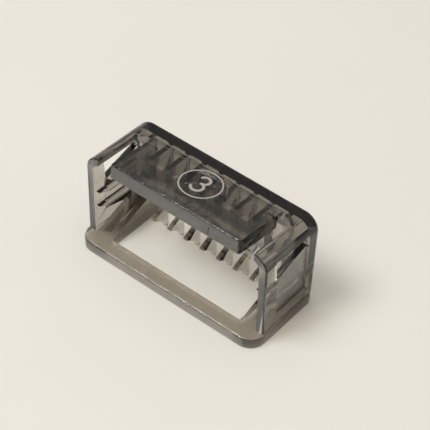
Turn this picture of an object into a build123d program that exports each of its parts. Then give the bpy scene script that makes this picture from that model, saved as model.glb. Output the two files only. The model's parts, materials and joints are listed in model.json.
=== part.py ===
"""Click-on guard comb for a hair trimmer, length mark 3.

A smoky clear plastic comb: a base ring, two end walls with windows, a roof with a springy
click-on tongue, and a row of curved fins under the back of the roof.  X runs along the row of
fins, -Y is the side where the blade slides in, and +Z is up.  The origin is the middle of the
comb's footprint on the surface that it stands on.  All sizes are in millimetres.
"""
from build123d import *
from math import cos, radians, sin, tan
import os

# ---- overall size ----
length = 38.0
depth = 16.5
front = -depth / 2
back = depth / 2

# ---- base ring ----
rail_height = 2.1
front_rail_width = 2.95
side_rail_width = 5.2
ring_front_radius = 3.0
ring_back_radius = 1.6
ring_depth = 15.9
ring_edge = 0.4
rail_back = front + front_rail_width

# ---- shell: end walls, arms and back bridge ----
wall = 1.45
shell_front = front + 2.75
shell_back = back
shell_half = length / 2 - 0.25
inner_half = shell_half - wall
roof_front_height = 19.0
roof_drop = 0.82
roof_slope = roof_drop / (shell_back - shell_front)
shoulder_radius = 2.9
arm_height = 2.2
front_edge = 0.3
back_edge = 0.8
back_lean = 0.04
web_thickness = 1.9
web_bottom = 6.6

# ---- slots beside the tongue ----
slot_outer = 16.15
slot_end = 3.8
slot_corner = 0.5

# ---- window and recessed panel in each end wall, as (y, z) ----
window_corners = [(-2.95, 16.6), (4.3, 16.0), (5.45, 14.15), (-2.65, 11.9)]
window_radius = 0.22
panel_corners = [(-2.35, 12.7), (5.1, 14.7), (5.1, 4.7), (-2.35, 4.7)]
panel_recess = 0.35

# ---- fins ----
fin_pitch = 3.55
fin_thickness = 0.9
fin_count = 7
fin_tip = (1.75, 3.6)
fin_tip_radius = 0.2
scallop_bulge = 0.34
toe = (4.55, 0.05)
heel = (5.05, 0.6)
skid_top = 5.3
neck_height = 2.9
post_front = 5.1
arm_start = 11.0
arm_tip = (0.3, 15.2)
arm_clearance = 0.25

# ---- blade seats: ledges and end fins share one slanted plane ----
seat_start = -4.05
seat_slope = tan(radians(20.4))
ledge_inner = 15.5
end_fin_inner = length / 2 - side_rail_width

# ---- guide ribs on the inner faces of the end walls ----
guide_tops = {"upper": 10.9, "lower": 7.8}
guide_reach = 0.75
guide_height = 1.1
guide_front = -5.0
guide_back = 4.2
guide_taper = 2.6
guide_fall = 0.04

# ---- click-on tongue, which bends at its root ----
root_y = 4.9
root_clearance = 0.05
tongue_skin = 1.2
tongue_half = 13.45
tongue_length = 10.5
tongue_angle = 7.2
tongue_corner = 0.5
tongue_edge = 0.25
pad_height = 2.6
block_length = 5.2
block_lean = 0.6
skirt_inner = 11.4
skirt_back = 1.1
boss_radius = 4.2
boss_gap = 0.3
catch_half = 5.0
catch_front = 1.2
catch_depth = 1.2
catch_height = 0.4

# ---- printed mark: a ring and the digit 3, measured along the tongue from its root ----
mark_distance = 3.9
mark_radius = 3.75
mark_line = 0.28
mark_print = 0.05
digit_height = 4.5
digit_stroke = 0.5
digit_upper_share = 0.47
digit_opening = 25

# ---- figures that follow from the sizes above ----
root_radius = tongue_skin / 2
root_height = roof_front_height - roof_slope * (root_y - shell_front) - root_radius
tongue_tilt = radians(tongue_angle)
tongue_frame = Plane(
    origin=(0, root_y, root_height),
    x_dir=(1, 0, 0),
    z_dir=(0, sin(tongue_tilt), cos(tongue_tilt)),
)


def block(x0, x1, y0, y1, z0, z1):
    """Plain box between two corners."""
    return Pos((x0 + x1) / 2, (y0 + y1) / 2, (z0 + z1) / 2) * Box(x1 - x0, y1 - y0, z1 - z0)


def side_solid(lines, x0, x1):
    """Solid between x0 and x1 whose outline is drawn in (y, z)."""
    return extrude(Plane.YZ.offset(x0) * make_face(lines), amount=x1 - x0)


def side_polygon(points, x0, x1, radius=0.0):
    """Straight-sided solid between x0 and x1, drawn in (y, z), with rounded corners if asked."""
    face = make_face(Polyline(*points, close=True))
    if radius:
        face = fillet(face.vertices(), radius)
    return extrude(Plane.YZ.offset(x0) * face, amount=x1 - x0)


def mirrored(solid):
    """The same solid on the other side of the comb's middle plane."""
    return mirror(solid, about=Plane.YZ)


def only(shape):
    """The one solid that a boolean result holds."""
    solids = shape.solids()
    assert len(solids) == 1, f"expected one solid, not {len(solids)}"
    return solids[0]


# ---- base ring ----
def base_nodes():
    """Front rail and two side rails, split from one U-shaped ring that is open at the back."""
    outline = Pos(0, front) * Rectangle(length, ring_depth, align=(Align.CENTER, Align.MIN))
    outline = fillet(outline.vertices().group_by(Axis.Y)[0], ring_front_radius)
    outline = fillet(outline.vertices().group_by(Axis.Y)[-1], ring_back_radius)
    ring = extrude(outline, amount=rail_height)
    ring = fillet(ring.edges().group_by(Axis.Z)[-1], ring_edge)
    ring = fillet(ring.edges().group_by(Axis.Z)[0], ring_edge / 2)
    opening_half = length / 2 - side_rail_width
    ring -= block(-opening_half, opening_half, rail_back, back + 1, -1, rail_height + 1)
    left_rail = only(ring & block(-length, 0, rail_back, back + 1, -1, rail_height + 1))
    return {
        "front_rail": only(ring & block(-length, length, front - 1, rail_back, -1, 9)),
        "left_side_rail": left_rail,
        "right_side_rail": mirrored(left_rail),
    }


# ---- shell ----
def arch_section(half, top, radius):
    """Cross-section of an arch in (x, z): straight sides and rounded shoulders."""
    section = Rectangle(2 * half, top, align=(Align.CENTER, Align.MIN))
    return fillet(section.vertices().group_by(Axis.Y)[-1], radius)


def along_roof(section):
    """Sweep an (x, z) section from the shell's front to its back, down the roof's slope."""
    start = Plane(origin=(0, shell_front, 0), x_dir=(1, 0, 0), z_dir=(0, -1, 0))
    run = Vector(0, shell_back - shell_front, -roof_drop)
    return extrude(start * section, amount=run.length, dir=run.normalized())


def arch_space():
    """Space under the arch: between the end walls and below the roof."""
    section = arch_section(inner_half, roof_front_height - wall, shoulder_radius - wall)
    return along_roof(section)


def back_at(z):
    """Where the leaning back of the shell is at height z."""
    return shell_back - back_lean * (roof_front_height - roof_drop - z)


def shell_outside():
    """Outer shape of the arch, with softened front edges and rounded back edges."""
    outer = along_roof(arch_section(shell_half, roof_front_height, shoulder_radius))
    front_edges = outer.edges().filter_by_position(Axis.Y, shell_front - 0.01, shell_front + 0.01)
    outer = fillet(front_edges.filter_by_position(Axis.Z, 0.5, 30), front_edge)
    lean = [(front, -1), (back_at(-1), -1), (back_at(30), 30), (front, 30)]
    outer &= side_polygon(lean, -length, length)
    back_edges = outer.faces().sort_by(Axis.Y)[-1].edges()
    return fillet(back_edges.filter_by_position(Axis.Z, 0.5, 30), back_edge)


def tongue_seat():
    """Space that the tongue and its rounded root take from the roof."""
    half = tongue_half + root_clearance
    gap = block(-half, half, shell_front - 1, root_y, root_height - 5, root_height + 5)
    groove = Cylinder(root_radius + root_clearance, 2 * half, rotation=(0, 90, 0))
    return gap + Pos(0, root_y, root_height) * groove


def slots():
    """Space in front of the bridge, between the two arms."""
    outline = Pos(0, slot_end - depth) * Rectangle(2 * slot_outer, 2 * depth)
    outline = fillet(outline.vertices().group_by(Axis.Y)[-1], slot_corner)
    return Pos(0, 0, roof_front_height - shoulder_radius) * extrude(outline, amount=10)


def wall_cuts():
    """Window and recessed panel of the right end wall."""
    window = side_polygon(window_corners, inner_half - 1, shell_half + 1, window_radius)
    panel = side_polygon(panel_corners, shell_half - panel_recess, shell_half + 1, window_radius)
    return window + panel


def web_edge():
    """The inner side of the back web in (y, z), from the back up to the roof's underside."""
    top = roof_front_height - wall
    low_back = (back_at(web_bottom), web_bottom)
    low_inside = (back_at(web_bottom) - web_thickness, web_bottom)
    return [low_back, low_inside, (back_at(top) - web_thickness, top)]


def back_web():
    """The wall across the back that the fins hang from, between the end walls."""
    top = roof_front_height - wall
    points = web_edge() + [(back_at(top), top)]
    return only(side_polygon(points, -inner_half, inner_half) & arch_space())


def shell_nodes():
    """Two end walls, two arms, the back bridge and the back web below it."""
    arch = shell_outside() - arch_space() - slots() - tongue_seat()
    arch -= block(-length, length, front, back, -5, rail_height)
    band = Pos(0, roof_front_height - arm_height) * Rectangle(
        2 * length, 5, align=(Align.CENTER, Align.MIN)
    )
    roof = along_roof(band) & arch
    bridge_space = block(-length, length, slot_end, back, 0, 30)
    arms = (roof - bridge_space).solids().sort_by(Axis.X)
    walls = (arch - along_roof(band)).solids().sort_by(Axis.X)
    return {
        "left_end_wall": only(walls[0] - mirrored(wall_cuts())),
        "right_end_wall": only(walls[-1] - wall_cuts()),
        "left_top_arm": arms[0],
        "right_top_arm": arms[-1],
        "back_bridge": only(roof & bridge_space),
        "back_web": back_web(),
    }


# ---- fins ----
def fin_outline():
    """A fin in (y, z): a pointed skid hollow underneath, a post, and an arm under the tongue."""
    tip_y, tip_z = fin_tip
    chord = Vector(toe[0] - tip_y, toe[1] - tip_z)
    across = Vector(-chord.Y, chord.X).normalized() * scallop_bulge
    scallop = Vector((tip_y + toe[0]) / 2, (tip_z + toe[1]) / 2) + across
    tip_low = (tip_y, tip_z - fin_tip_radius)
    tip_high = (tip_y, tip_z + fin_tip_radius)
    neck = (heel[0], neck_height)
    shoulder, *web_side = web_edge()
    middle = ((neck[0] + shoulder[0]) / 2, (neck[1] + shoulder[1]) / 2)
    lower_bend = TangentArc(neck, middle, tangent=(0, 1))
    upper_bend = TangentArc(middle, shoulder, tangent=lower_bend % 1)
    top = roof_front_height - wall
    arm_top = [(y, height_under_plate(y) - arm_clearance) for y in (post_front, arm_tip[0])]
    return [
        ThreePointArc(tip_low, scallop, toe),
        TangentArc(heel, toe, tangent=(0, -1)),
        Line(heel, neck),
        lower_bend,
        upper_bend,
        Polyline(shoulder, *web_side, (root_y + root_radius, top), *arm_top, arm_tip),
        TangentArc((post_front, arm_start), arm_tip, tangent=(0, 1)),
        Polyline((post_front, arm_start), (post_front, skid_top), tip_high),
        ThreePointArc(tip_high, (tip_y - fin_tip_radius, tip_z), tip_low),
    ]


def fin_nodes():
    """The row of fins, and the end fin beside each blade seat, hung from the bridge and the web."""
    nodes = {}
    space = arch_space()
    room = tongue_frame * boss(boss_radius + arm_clearance, pad_height + arm_clearance)
    pattern = side_solid(fin_outline(), -fin_thickness / 2, fin_thickness / 2)
    for place in range(fin_count):
        x = (place - (fin_count - 1) / 2) * fin_pitch
        nodes[f"comb_fin_{place + 1}"] = only((Pos(x, 0, 0) * pattern & space) - room)
    points = [(back_at(rail_height), rail_height), *web_edge(),
              (post_front, roof_front_height - wall), (post_front, seat_height(post_front)),
              (seat_start, rail_height)]
    end_fin = side_polygon(points, end_fin_inner, end_fin_inner + fin_thickness)
    nodes["right_end_fin"] = only(end_fin & space)
    nodes["left_end_fin"] = mirrored(nodes["right_end_fin"])
    return nodes


# ---- blade seats and guides ----
def seat_height(y):
    """Height at y of the slanted plane that the blade rests on."""
    return rail_height + seat_slope * (y - seat_start)


def seat_nodes():
    """A ledge and two guide ribs on the inner side of each end wall."""
    ledge_back = back_at(rail_height)
    points = [(seat_start, rail_height), (ledge_back, seat_height(ledge_back)),
              (ledge_back, rail_height)]
    ledge = side_polygon(points, ledge_inner, inner_half)
    nodes = {"left_blade_ledge": mirrored(ledge), "right_blade_ledge": ledge}
    for name, top in guide_tops.items():
        low_top = top - guide_fall * (guide_back - guide_front)
        points = [(guide_front, top), (guide_back, low_top), (guide_back, low_top - guide_height),
                  (guide_front + guide_taper, top - guide_fall * guide_taper - guide_height)]
        rib = side_polygon(points, inner_half - guide_reach, inner_half)
        nodes[f"left_{name}_guide"] = mirrored(rib)
        nodes[f"right_{name}_guide"] = rib
    return nodes


# ---- tongue, drawn flat in its own frame: its root at y = 0, its lip towards -y ----
def tongue_outline():
    """Tongue seen from above, with rounded lip corners."""
    outline = Rectangle(2 * tongue_half, tongue_length, align=(Align.CENTER, Align.MAX))
    return fillet(outline.vertices().group_by(Axis.Y)[0], tongue_corner)


def height_under_plate(y):
    """Height on the comb of the underside of the tongue's plate above a given y."""
    level = root_height - root_radius * cos(tongue_tilt)
    return level + (root_y - y) * tan(tongue_tilt)


def boss(radius, depth):
    """Round boss under the printed mark, from the plate's top down to a depth."""
    centre = Pos(0, -mark_distance, root_radius)
    return centre * Cylinder(radius, depth, align=(Align.CENTER, Align.CENTER, Align.MAX))


def tongue_plate():
    """Top skin of the tongue, with a rounded root and softened edges."""
    plate = Pos(0, 0, -root_radius) * extrude(tongue_outline(), amount=tongue_skin)
    rim = [e for e in plate.edges().group_by(Axis.Z)[-1] if e.center().Y < -0.01]
    plate = fillet(rim, tongue_edge)
    return only(plate + Cylinder(root_radius, 2 * tongue_half, rotation=(0, 90, 0)))


def tongue_underside():
    """Block behind the lip, skirts along both sides, round boss and catch below the plate."""
    bottom = root_radius - pad_height
    block_back = block_length - tongue_length
    slab = Pos(0, 0, bottom) * extrude(tongue_outline(), amount=pad_height - tongue_skin)
    block_side = [(block_back, -root_radius), (block_back + block_lean, bottom),
                  (-depth, bottom), (-depth, -root_radius)]
    lip_block = slab & side_polygon(block_side, -length, length)
    skirt = slab & block(skirt_inner, length, block_back, -skirt_back, -depth, depth)
    skirt -= lip_block
    below_plate = block(-length, length, block_back, -boss_gap, -depth, -root_radius)
    below_plate -= lip_block
    catch_points = [(catch_front, 0), (catch_front + catch_height, -catch_height),
                    (catch_front + catch_depth, -catch_height), (catch_front + catch_depth, 0)]
    catch_points = [(d - tongue_length, bottom + drop) for d, drop in catch_points]
    return {
        "tongue_block": only(lip_block),
        "tongue_left_skirt": mirrored(only(skirt)),
        "tongue_right_skirt": only(skirt),
        "tongue_boss": only(boss(boss_radius, pad_height) & below_plate),
        "tongue_catch": side_polygon(catch_points, -catch_half, catch_half),
    }


def printed(face):
    """A raised print on the plate, from a face drawn about the mark's middle."""
    return only(extrude(Pos(0, -mark_distance, root_radius) * face, amount=mark_print))


def digit_three():
    """The digit 3 as two open loops, the lower one a little larger."""
    loops = digit_height - digit_stroke
    upper = digit_upper_share * loops / 2
    lower = loops / 2 - upper
    waist = lower - upper
    turn = 270 - digit_opening
    upper_arc = CenterArc((0, waist + upper), upper, -90, turn)
    lower_arc = CenterArc((0, waist - lower), lower, 90, -turn)
    return SlotArc(upper_arc, digit_stroke) + SlotArc(lower_arc, digit_stroke)


def tongue_nodes():
    """Every piece of the tongue, set in place on the comb."""
    nodes = {"tongue_plate": tongue_plate()}
    nodes.update(tongue_underside())
    nodes["mark_ring"] = printed(Circle(mark_radius) - Circle(mark_radius - mark_line))
    nodes["mark_digit"] = printed(digit_three())
    return {name: tongue_frame * solid for name, solid in nodes.items()}


def main():
    nodes = base_nodes() | shell_nodes() | fin_nodes() | seat_nodes() | tongue_nodes()
    os.makedirs("parts", exist_ok=True)
    for name, solid in nodes.items():
        export_step(solid, f"parts/{name}.step")
    print(len(nodes), "nodes; tongue root at", (0, root_y, round(root_height, 3)))


main()
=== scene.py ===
"""Looks for the click-on guard comb: smoky clear plastic, printed mark, floor, light and camera."""
import json
from math import cos, radians, sin

import bmesh
import bpy
from mathutils import Matrix, Vector


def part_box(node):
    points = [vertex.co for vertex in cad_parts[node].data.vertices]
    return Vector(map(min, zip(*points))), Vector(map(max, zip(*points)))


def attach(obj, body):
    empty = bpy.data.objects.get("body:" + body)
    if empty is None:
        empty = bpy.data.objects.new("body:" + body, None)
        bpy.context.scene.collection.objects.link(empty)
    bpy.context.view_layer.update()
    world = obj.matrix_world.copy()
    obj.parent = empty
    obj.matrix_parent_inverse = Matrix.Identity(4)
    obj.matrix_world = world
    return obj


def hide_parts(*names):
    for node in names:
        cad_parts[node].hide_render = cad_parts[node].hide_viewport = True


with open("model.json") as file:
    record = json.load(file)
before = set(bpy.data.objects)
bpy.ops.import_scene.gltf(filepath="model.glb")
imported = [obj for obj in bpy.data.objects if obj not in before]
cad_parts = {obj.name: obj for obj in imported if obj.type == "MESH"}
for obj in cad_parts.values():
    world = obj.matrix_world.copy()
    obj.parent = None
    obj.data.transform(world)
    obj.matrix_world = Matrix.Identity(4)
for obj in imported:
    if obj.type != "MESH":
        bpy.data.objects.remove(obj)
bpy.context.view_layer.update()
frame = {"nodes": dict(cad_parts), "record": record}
bodies = frame["record"]["behaviour"]["bodies"]

MM = 0.001
MARKS = ["mark_ring", "mark_digit"]

# Mesh work. CAD meshes are enlarged to millimetre numbers, and these are in millimetres.
GROW = 1000.0
WELD = 1e-4  # points of one CAD face meet those of the next within this
SLIVER = 0.003  # edges shorter than this are left over from the unions
LOOSE_AREA = 10  # islands smaller than this, in square mm, are scraps of the unions
SHARP_EDGE = radians(28)

# Marks in the lip, which slopes with the tongue: sizes across, into and along its face, in mm.
LIP_TILT = radians(7.2)
LIP_SLOT = (0.2, 0.3, 3.0)
LIP_SLOT_X = 7.2
LIP_SLOT_ABOVE_BLOCK = 1.0
GATE_NOTCH = (0.7, 0.5, 0.5)

# Matte faces: the extra roughness, and how far they are from the middle or the floor.
FRONT_MATTE = 0.3
PANEL_MATTE = 0.25
UNDERSIDE_MATTE = 0.45
PANEL_NEAR, PANEL_FAR = 18.2 * MM, 18.6 * MM
UNDERSIDE_HEIGHT = 0.1 * MM
FACING = 0.97  # least share of a face's normal that points forwards or down
FACING_PANEL = 0.99  # the same for the recessed panels, which face sideways

# Plastic. Each millimetre absorbs 1 - clear of red, green and blue light.
COMB_CLEAR = (0.71, 0.685, 0.65)
TONGUE_CLEAR = (0.50, 0.467, 0.425)
ABSORPTION_DENSITY = 1 / MM
PLASTIC_IOR = 1.57
PLASTIC_TINT = (0.97, 0.965, 0.955, 1)
SHADOW_TINT = (0.96, 0.96, 0.96, 1)
GLOSS_FROM, GLOSS_TO = 0.01, 0.06
MATTE_OPAQUE = 0.35  # how opaque a face becomes for each 1 of extra roughness

# Floor, lamps and camera. A lamp is: azimuth, elevation, distance, size in metres, power.
FLOOR_HALF = 1.5
FLOOR_GAP = 0.02 * MM  # keeps the floor's face apart from the base ring's
WORLD_COLOUR = (1.0, 0.99, 0.97, 1)
WORLD_STRENGTH = 0.34
LAMPS = {
    "key": (radians(-40), radians(58), 1.2, 0.5, 8.7),
    "top": (radians(0), radians(88), 0.9, 1.0, 2.1),
}
BOUNCES = 24  # light crosses many walls and fins before it comes out
AZIMUTH, ELEVATION, ROLL = radians(38.584), radians(44.505), radians(1.537)
DISTANCE = 264.31
AIM = Vector((0.426, 4.41, 9.80)) * MM
SENSOR_WIDTH = 36
FOCAL_LENGTH = 134.88
CLIP_START = 0.01


# ---------- node materials (textures are in object space, so their scales are per metre) ----------
class Shader:
    """A small helper that adds and links the nodes of one material."""

    def __init__(self, name):
        self.material = bpy.data.materials.new(name)
        self.material.use_nodes = True
        self.tree = self.material.node_tree
        self.tree.nodes.clear()
        self.output = self.add("ShaderNodeOutputMaterial")

    def add(self, kind, settings=None, **inputs):
        """A new node. An input's name is written with _ for a space."""
        node = self.tree.nodes.new(kind)
        for key, value in (settings or {}).items():
            setattr(node, key, value)
        for key, value in inputs.items():
            self.feed(node, key.replace("_", " "), value)
        return node

    def feed(self, node, key, value):
        """Link an output to a node's input, or set the input to a number or colour."""
        socket = node.inputs[key]
        if isinstance(value, bpy.types.NodeSocket):
            self.tree.links.new(value, socket)
        else:
            socket.default_value = value

    def combined(self, kind, operation, *values):
        """The output of a math node, from its inputs in their order."""
        node = self.add(kind, {"operation": operation})
        for place, value in enumerate(values):
            self.feed(node, place, value)
        return node.outputs[0]


def streaks(s, place):
    """Bump of fine streaks along X, from the flow of the plastic in the mould."""
    grain = s.add("ShaderNodeMapping", Vector=place, Scale=(0.06, 1, 1))
    noise = s.add("ShaderNodeTexNoise", Vector=grain.outputs[0], Scale=2600.0, Detail=2.0)
    height = noise.outputs["Fac"]
    return s.add("ShaderNodeBump", Height=height, Strength=0.25, Distance=0.02 * MM).outputs[0]


def turning_rings(s, place, centre, normal):
    """Bump of faint rings about a centre, over another bump's normal."""
    around = s.combined("ShaderNodeVectorMath", "SUBTRACT", place, centre)
    shape = {"wave_type": "RINGS", "rings_direction": "SPHERICAL"}
    rings = s.add("ShaderNodeTexWave", shape, Vector=around, Scale=800.0, Distortion=0.6)
    height = rings.outputs["Fac"]
    bump = s.add("ShaderNodeBump", Height=height, Strength=0.15, Distance=0.01 * MM, Normal=normal)
    return bump.outputs[0]


def smoke_plastic(name, clear, turned_about):
    """Smoky clear plastic: refracts, and darkens with the depth of plastic that light crosses.

    turned_about is the centre of the turning rings, or None where there are none. The mesh's
    matte attribute makes some faces rougher and less clear.
    """
    s = Shader(name)
    place = s.add("ShaderNodeTexCoord").outputs["Object"]
    haze = s.add("ShaderNodeTexNoise", Vector=place, Scale=260.0, Detail=4.0)
    gloss = s.add("ShaderNodeMapRange", Value=haze.outputs["Fac"])
    s.feed(gloss, "To Min", GLOSS_FROM)
    s.feed(gloss, "To Max", GLOSS_TO)
    matte = s.add("ShaderNodeAttribute", {"attribute_name": "matte"}).outputs["Fac"]
    roughness = s.combined("ShaderNodeMath", "ADD", gloss.outputs["Result"], matte)
    see_through = s.combined("ShaderNodeMath", "MULTIPLY_ADD", matte, -MATTE_OPAQUE, 1.0)
    normal = streaks(s, place)
    if turned_about:
        normal = turning_rings(s, place, turned_about, normal)
    skin = s.add(
        "ShaderNodeBsdfPrincipled",
        Base_Color=PLASTIC_TINT,
        IOR=PLASTIC_IOR,
        Normal=normal,
        Roughness=roughness,
        Transmission_Weight=see_through,
    )
    lit = s.add("ShaderNodeBsdfTransparent", Color=SHADOW_TINT)
    mix = s.add("ShaderNodeMixShader", Fac=s.add("ShaderNodeLightPath").outputs["Is Shadow Ray"])
    s.feed(mix, 1, skin.outputs[0])
    s.feed(mix, 2, lit.outputs[0])
    depth = s.add("ShaderNodeVolumeAbsorption", Color=(*clear, 1), Density=ABSORPTION_DENSITY)
    s.feed(s.output, "Surface", mix.outputs[0])
    s.feed(s.output, "Volume", depth.outputs[0])
    return s.material


def speckled(name, scale, detail, dark, light, roughness):
    """An opaque material whose colour wanders a little."""
    s = Shader(name)
    place = s.add("ShaderNodeTexCoord").outputs["Object"]
    noise = s.add("ShaderNodeTexNoise", Vector=place, Scale=scale, Detail=detail)
    tone = s.add("ShaderNodeValToRGB", Fac=noise.outputs["Fac"])
    for end, colour in zip(tone.color_ramp.elements, (dark, light)):
        end.color = colour
    body = s.add("ShaderNodeBsdfPrincipled", Roughness=roughness)
    s.feed(body, "Base Color", tone.outputs["Color"])
    s.feed(s.output, "Surface", body.outputs[0])
    return s.material


# ---------- meshes ----------
def new_object(name, mesh):
    piece = bpy.data.objects.new(name, mesh)
    bpy.context.scene.collection.objects.link(piece)
    return piece


def new_mesh(name, b):
    mesh = bpy.data.meshes.new(name)
    b.to_mesh(mesh)
    b.free()
    return mesh


def node_copy(node):
    """A welded and enlarged copy of a CAD node's mesh."""
    b = bmesh.new()
    b.from_mesh(frame["nodes"][node].data)
    bmesh.ops.scale(b, vec=(GROW, GROW, GROW), verts=b.verts)
    bmesh.ops.remove_doubles(b, verts=b.verts, dist=WELD)
    name = node + "_copy"
    return new_object(name, new_mesh(name, b))


def cutter(centre, size):
    """An enlarged box for cutting a small mark into the lip, tilted about X like the tongue."""
    b = bmesh.new()
    bmesh.ops.create_cube(b, size=1.0)
    bmesh.ops.scale(b, vec=Vector(size) * MM * GROW, verts=b.verts)
    bmesh.ops.rotate(b, matrix=Matrix.Rotation(-LIP_TILT, 3, "X"), verts=b.verts)
    bmesh.ops.translate(b, vec=Vector(centre) * GROW, verts=b.verts)
    return new_object("cutter", new_mesh("cutter", b))


def combine(base, other, operation):
    """Give base the closed mesh of its union with other, or of what other leaves of it."""
    step = base.modifiers.new("step", "BOOLEAN")
    step.operation = operation
    step.solver = "MANIFOLD"
    step.object = other
    depsgraph = bpy.context.evaluated_depsgraph_get()
    mesh = bpy.data.meshes.new_from_object(base.evaluated_get(depsgraph))
    base.modifiers.clear()
    base.data = mesh


def islands(b):
    """Groups of faces that hang together along edges with two faces each."""
    unseen = dict.fromkeys(b.faces)
    found = []
    while unseen:
        island = [unseen.popitem()[0]]
        for face in island:
            near = [g for e in face.edges if len(e.link_faces) == 2 for g in e.link_faces]
            for other in near:
                if other in unseen:
                    del unseen[other]
                    island.append(other)
        found.append(island)
    return found


def joined(name, nodes, cuts=()):
    """One closed mesh made of CAD nodes, without the faces where they touch, less small marks."""
    copies = [node_copy(n) for n in nodes]
    base = copies[0]
    for other in copies[1:]:
        combine(base, other, "UNION")
    for centre, size in cuts:
        tool = cutter(centre, size)
        combine(base, tool, "DIFFERENCE")
        bpy.data.objects.remove(tool)
    mesh = base.data
    for copy in copies:
        bpy.data.objects.remove(copy)
    b = bmesh.new()
    b.from_mesh(mesh)
    bmesh.ops.remove_doubles(b, verts=b.verts, dist=SLIVER)
    bmesh.ops.dissolve_degenerate(b, edges=b.edges, dist=SLIVER)
    scraps = [i for i in islands(b) if sum(f.calc_area() for f in i) < LOOSE_AREA]
    loose = [f for island in scraps for f in island]
    bmesh.ops.delete(b, geom=loose, context="FACES")
    bmesh.ops.scale(b, vec=(1 / GROW,) * 3, verts=b.verts)
    b.to_mesh(mesh)
    b.free()
    mesh.materials.clear()
    return new_object(name, mesh)


def matte_share(face):
    """Extra roughness of a face: forward faces, recessed panels and the ring's underside."""
    if face.normal.y < -FACING:
        return FRONT_MATTE
    if abs(face.normal.x) > FACING_PANEL and PANEL_NEAR < abs(face.center.x) < PANEL_FAR:
        return PANEL_MATTE
    if face.normal.z < -FACING and face.center.z < UNDERSIDE_HEIGHT:
        return UNDERSIDE_MATTE
    return 0.0


def finish_mesh(piece, material):
    """Material, matte faces and shading of a moulding."""
    piece.data.materials.append(material)
    matte = piece.data.attributes.new("matte", "FLOAT", "FACE")
    for face in piece.data.polygons:
        matte.data[face.index].value = matte_share(face)
    piece.data.shade_smooth()
    piece.data.set_sharp_from_angle(angle=SHARP_EDGE)
    weighted = piece.modifiers.new("normals", "WEIGHTED_NORMAL")
    weighted.keep_sharp = True


ring_low, ring_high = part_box("mark_ring")
block_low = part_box("tongue_block")[0]
lip_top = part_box("tongue_plate")[1].z
slot_height = block_low.z + LIP_SLOT_ABOVE_BLOCK * MM
lip_marks = [
    ((LIP_SLOT_X * MM, block_low.y, slot_height), LIP_SLOT),
    ((0.0, block_low.y, lip_top), GATE_NOTCH),
]
tongue_nodes = [n for n in bodies["tongue"] if n not in MARKS]
for body, nodes, cuts, clear, turned_about in (
    ("comb", bodies["comb"], (), COMB_CLEAR, None),
    ("tongue", tongue_nodes, lip_marks, TONGUE_CLEAR, (ring_low + ring_high) / 2),
):
    piece = joined(body + "_moulding", nodes, cuts)
    finish_mesh(piece, smoke_plastic(piece.name, clear, turned_about))
    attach(piece, body)
    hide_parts(*nodes)

# Pale pad-printed ink, a little uneven.
ink = speckled("print_ink", 1800.0, 3.0, (0.33, 0.31, 0.27, 1), (0.48, 0.45, 0.40, 1), 0.45)
for name in MARKS:
    materials = frame["nodes"][name].data.materials
    materials.clear()
    materials.append(ink)

# ---------- floor ----------
b = bmesh.new()
bmesh.ops.create_grid(b, x_segments=1, y_segments=1, size=FLOOR_HALF)
floor = new_object("floor", new_mesh("floor", b))
floor.data.materials.append(
    speckled("floor", 40.0, 2.0, (0.80, 0.77, 0.69, 1), (0.82, 0.79, 0.71, 1), 0.7)
)
floor.location.z = -FLOOR_GAP

# ---------- light ----------
scene = bpy.context.scene
scene.world = bpy.data.worlds.new("studio")
scene.world.use_nodes = True
sky = scene.world.node_tree.nodes["Background"].inputs
sky["Color"].default_value = WORLD_COLOUR
sky["Strength"].default_value = WORLD_STRENGTH


def away(azimuth, elevation):
    """The direction from the comb towards a lamp or the camera. Azimuth 0 is its front."""
    x, y = sin(azimuth) * cos(elevation), -cos(azimuth) * cos(elevation)
    return Vector((x, y, sin(elevation)))


for name, (azimuth, elevation, distance, size, power) in LAMPS.items():
    lamp = bpy.data.lights.new(name, "AREA")
    lamp.size = size
    lamp.energy = power
    place = away(azimuth, elevation)
    holder = new_object(name, lamp)
    holder.location = place * distance
    holder.rotation_euler = place.to_track_quat("Z", "Y").to_euler()
    holder.visible_transmission = False  # a lamp seen through the fins is a white dot

scene.view_settings.view_transform = "Standard"
scene.cycles.max_bounces = BOUNCES
scene.cycles.transmission_bounces = BOUNCES
scene.cycles.transparent_max_bounces = BOUNCES

# ---------- camera ----------
back = away(AZIMUTH, ELEVATION)
right = Vector((cos(AZIMUTH), sin(AZIMUTH), 0))
up = back.cross(right)
across = right * cos(ROLL) + up * sin(ROLL)
above = up * cos(ROLL) - right * sin(ROLL)
turn = Matrix((across, above, back)).transposed().to_4x4()
lens = bpy.data.cameras.new("camera")
lens.sensor_width = SENSOR_WIDTH
lens.lens = FOCAL_LENGTH
lens.clip_start = CLIP_START
camera = new_object("camera", lens)
camera.matrix_world = Matrix.Translation(AIM + back * DISTANCE * MM) @ turn
scene.camera = camera
